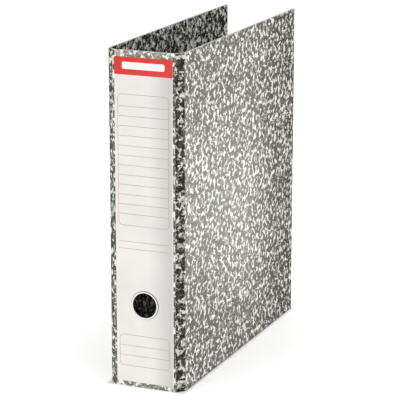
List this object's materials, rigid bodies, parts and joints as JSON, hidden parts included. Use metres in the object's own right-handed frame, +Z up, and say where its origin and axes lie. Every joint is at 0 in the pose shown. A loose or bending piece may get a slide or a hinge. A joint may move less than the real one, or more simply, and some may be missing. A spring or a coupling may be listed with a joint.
{
  "type": "lever arch file",
  "caption": "Marbled board lever arch file with creased hinged covers, a ruled blank spine label, a ringed finger hole and a lever-opened arch mechanism inside.",
  "frame": {"origin": "centre of the footprint, on the surface that the file stands on", "axes": "+Z up along the height, -Y out of the spine label, +X out of the front cover"},
  "size_m": [0.0761, 0.286, 0.318],
  "materials": {
    "marbled_paper": "black and white cloud marbled paper with a light varnish",
    "dark_marbled_paper": "near-black marbled lining paper, matte",
    "grey_board": "grey board with raw cut edges",
    "label_paper": "white label paper printed with a red band and thin ruled lines",
    "nickel_plate": "bright nickel plate",
    "plated_steel": "nickel plated pressed steel sheet",
    "spring_steel": "plain spring steel"
  },
  "bodies": {
    "spine": {"spine_wrap": "marbled_paper", "spine_board": "grey_board", "spine_lining": "dark_marbled_paper", "spine_label": "label_paper", "finger_ring": "nickel_plate", "finger_ring_washer": "nickel_plate"},
    "front_hinge": {"front_hinge_wrap": "marbled_paper", "front_hinge_board": "grey_board", "front_hinge_lining": "dark_marbled_paper"},
    "front_cover": {"front_cover_wrap": "marbled_paper", "front_cover_board": "grey_board", "front_cover_lining": "dark_marbled_paper"},
    "back_hinge": {"back_hinge_wrap": "marbled_paper", "back_hinge_board": "grey_board", "back_hinge_lining": "dark_marbled_paper"},
    "back_cover": {"back_cover_wrap": "marbled_paper", "back_cover_board": "grey_board", "back_cover_lining": "dark_marbled_paper", "base_plate": "plated_steel", "plate_rivets": "nickel_plate", "fixed_posts": "nickel_plate", "opening_spring": "spring_steel", "spring_rivet": "nickel_plate", "lever_pin": "nickel_plate"},
    "arches": {"arch_wire": "nickel_plate"},
    "lever": {"lever": "plated_steel", "roller_pin": "nickel_plate"},
    "roller": {"lever_roller": "plated_steel"},
    "compressor": {"compressor_bar": "plated_steel"},
    "catch": {"compressor_catch": "spring_steel"}
  },
  "joints": [
    {"name": "front_cover_fold", "type": "hinge", "parent": "front_hinge", "child": "front_cover", "pos_m": [0.0377, -0.1355, 0.159], "axis": [0, 0, -1], "range_deg": [0, 90]},
    {"name": "front_hinge_fold", "type": "hinge", "parent": "spine", "child": "front_hinge", "pos_m": [0.0307, -0.1425, 0.159], "axis": [0, 0, -1], "range_deg": [0, 90]},
    {"name": "back_cover_fold", "type": "hinge", "parent": "back_hinge", "child": "back_cover", "pos_m": [-0.0377, -0.1355, 0.159], "axis": [0, 0, 1], "range_deg": [0, 90]},
    {"name": "back_hinge_fold", "type": "hinge", "parent": "spine", "child": "back_hinge", "pos_m": [-0.0307, -0.1425, 0.159], "axis": [0, 0, 1], "range_deg": [0, 90]},
    {"name": "lever_lift", "type": "hinge", "parent": "back_cover", "child": "lever", "pos_m": [-0.0167, -0.0765, 0.159], "axis": [0, 0, 1], "range_deg": [0, 84]},
    {"name": "arch_swing", "type": "hinge", "parent": "back_cover", "child": "arches", "pos_m": [-0.0312, -0.1115, 0.159], "axis": [0, 0, -1], "range_deg": [0, 32]},
    {"name": "roller_spin", "type": "hinge", "parent": "lever", "child": "roller", "pos_m": [-0.02535, -0.08361, 0.159], "axis": [0, 0, 1], "continuous": true},
    {"name": "compressor_slide", "type": "slide", "parent": "back_cover", "child": "compressor", "axis": [1, 0, 0], "range_m": [0, 0.028]},
    {"name": "catch_slide", "type": "slide", "parent": "compressor", "child": "catch", "axis": [0, 0, 1], "range_m": [0, 0.003]}
  ],
  "couplings": [
    {"joint": "front_hinge_fold", "follows": "front_cover_fold", "ratio": 1},
    {"joint": "back_hinge_fold", "follows": "back_cover_fold", "ratio": 1},
    {"joint": "arch_swing", "follows": "lever_lift", "ratio": 0.38095}
  ]
}
